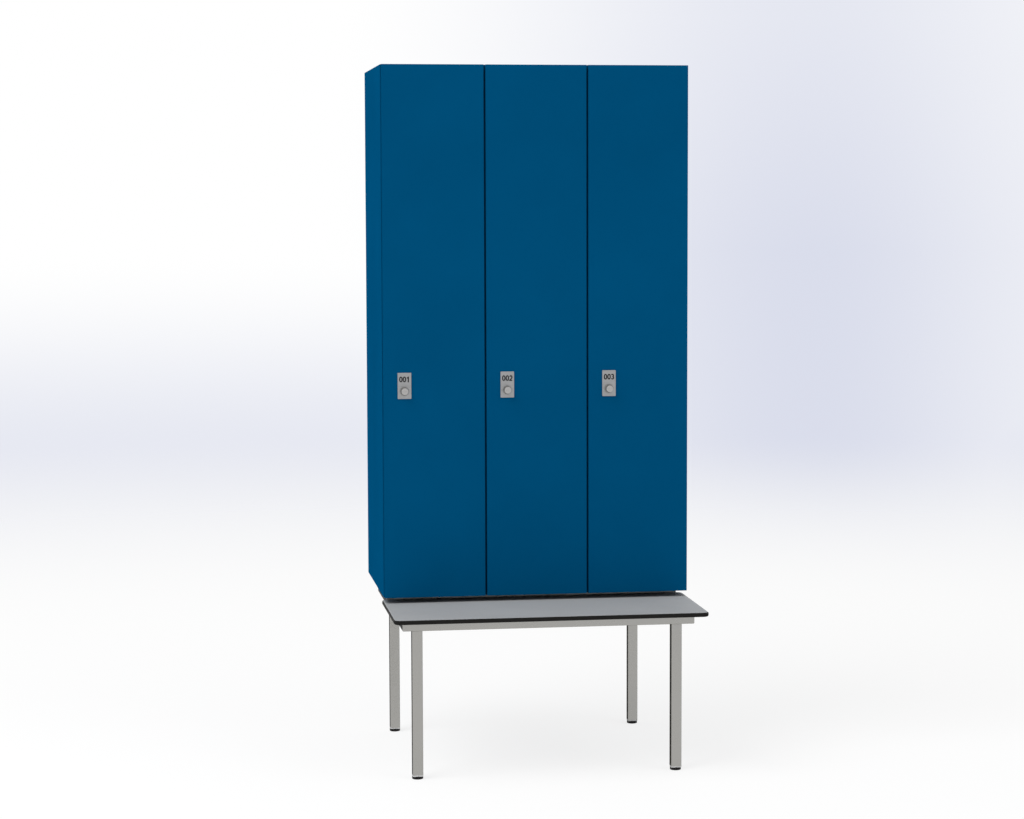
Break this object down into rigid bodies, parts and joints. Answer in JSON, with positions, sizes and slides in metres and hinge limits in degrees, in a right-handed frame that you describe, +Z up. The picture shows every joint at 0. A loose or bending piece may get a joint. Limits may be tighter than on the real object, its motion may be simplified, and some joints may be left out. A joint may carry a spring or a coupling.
{
  "type": "mudroom locker unit",
  "caption": "Tall changing-room locker with side-by-side pivoting doors and turn-knob locks, standing on a square-tube bench frame with a projecting seat board.",
  "frame": {"origin": "on the floor, under the middle of the outline", "axes": "+Z up, +X to the right seen from the front, +Y towards the back; the doors face -Y"},
  "size_m": [0.9, 0.82, 2.032],
  "materials": {
    "frame_paint": "silver-grey metallic powder coat",
    "blue_laminate": "matte laminate, edged in the same blue",
    "seat_laminate": "satin compact laminate with a black core",
    "black_plastic": "matte",
    "grey_nylon": "matte",
    "zinc_steel": "zinc plated",
    "aluminium_angle": "satin anodised",
    "hook_steel": "satin",
    "buffer_rubber": "matte",
    "lock_silver": "satin anodised",
    "lock_steel": "satin"
  },
  "bodies": {
    "cabinet": {"back_board": "blue_laminate", "back_screws": "zinc_steel", "bearer_plugs": "black_plastic", "bottom_board": "blue_laminate", "carcase_screws": "zinc_steel", "coat_hooks": "hook_steel", "corner_brackets": "aluminium_angle", "cross_rail": "frame_paint", "door_buffers": "buffer_rubber", "foot_collars": "grey_nylon", "foot_glides": "black_plastic", "front_bearer": "frame_paint", "front_left_leg": "frame_paint", "front_rail": "frame_paint", "front_right_leg": "frame_paint", "hat_shelves": "blue_laminate", "left_divider": "blue_laminate", "left_rail": "frame_paint", "left_side": "blue_laminate", "lock_keeps": "zinc_steel", "locker_bolts": "zinc_steel", "pivot_pins": "zinc_steel", "pivot_plates": "zinc_steel", "pivot_screws": "zinc_steel", "rear_bearer": "frame_paint", "rear_left_leg": "frame_paint", "rear_rail": "frame_paint", "rear_right_leg": "frame_paint", "right_divider": "blue_laminate", "right_rail": "frame_paint", "right_side": "blue_laminate", "seat_board": "seat_laminate", "seat_screws": "zinc_steel", "seat_tabs": "frame_paint", "shelf_cleats": "aluminium_angle", "top_board": "blue_laminate"},
    "left_door": {"left_door": "blue_laminate", "left_door_bushes": "grey_nylon", "left_lock_plate": "lock_silver", "left_lock_housing": "lock_steel", "left_lock_nut": "zinc_steel"},
    "left_lock": {"left_lock_knob": "lock_steel", "left_lock_cam": "zinc_steel", "left_cam_screw": "zinc_steel"},
    "middle_door": {"middle_door": "blue_laminate", "middle_door_bushes": "grey_nylon", "middle_lock_plate": "lock_silver", "middle_lock_housing": "lock_steel", "middle_lock_nut": "zinc_steel"},
    "middle_lock": {"middle_lock_knob": "lock_steel", "middle_lock_cam": "zinc_steel", "middle_cam_screw": "zinc_steel"},
    "right_door": {"right_door": "blue_laminate", "right_door_bushes": "grey_nylon", "right_lock_plate": "lock_silver", "right_lock_housing": "lock_steel", "right_lock_nut": "zinc_steel"},
    "right_lock": {"right_lock_knob": "lock_steel", "right_lock_cam": "zinc_steel", "right_cam_screw": "zinc_steel"}
  },
  "joints": [
    {"name": "left_door_swing", "type": "hinge", "parent": "cabinet", "child": "left_door", "pos_m": [-0.1585, -0.1025, 0.492], "axis": [0, 0, 1], "range_deg": [0, 110]},
    {"name": "left_lock_turn", "type": "hinge", "parent": "left_door", "child": "left_lock", "pos_m": [-0.38675, -0.11, 1.094], "axis": [0, 1, 0], "range_deg": [0, 90]},
    {"name": "middle_door_swing", "type": "hinge", "parent": "cabinet", "child": "middle_door", "pos_m": [0.1415, -0.1025, 0.492], "axis": [0, 0, 1], "range_deg": [0, 110]},
    {"name": "middle_lock_turn", "type": "hinge", "parent": "middle_door", "child": "middle_lock", "pos_m": [-0.08675, -0.11, 1.094], "axis": [0, 1, 0], "range_deg": [0, 90]},
    {"name": "right_door_swing", "type": "hinge", "parent": "cabinet", "child": "right_door", "pos_m": [0.4415, -0.1025, 0.492], "axis": [0, 0, 1], "range_deg": [0, 110]},
    {"name": "right_lock_turn", "type": "hinge", "parent": "right_door", "child": "right_lock", "pos_m": [0.21325, -0.11, 1.094], "axis": [0, 1, 0], "range_deg": [0, 90]}
  ]
}
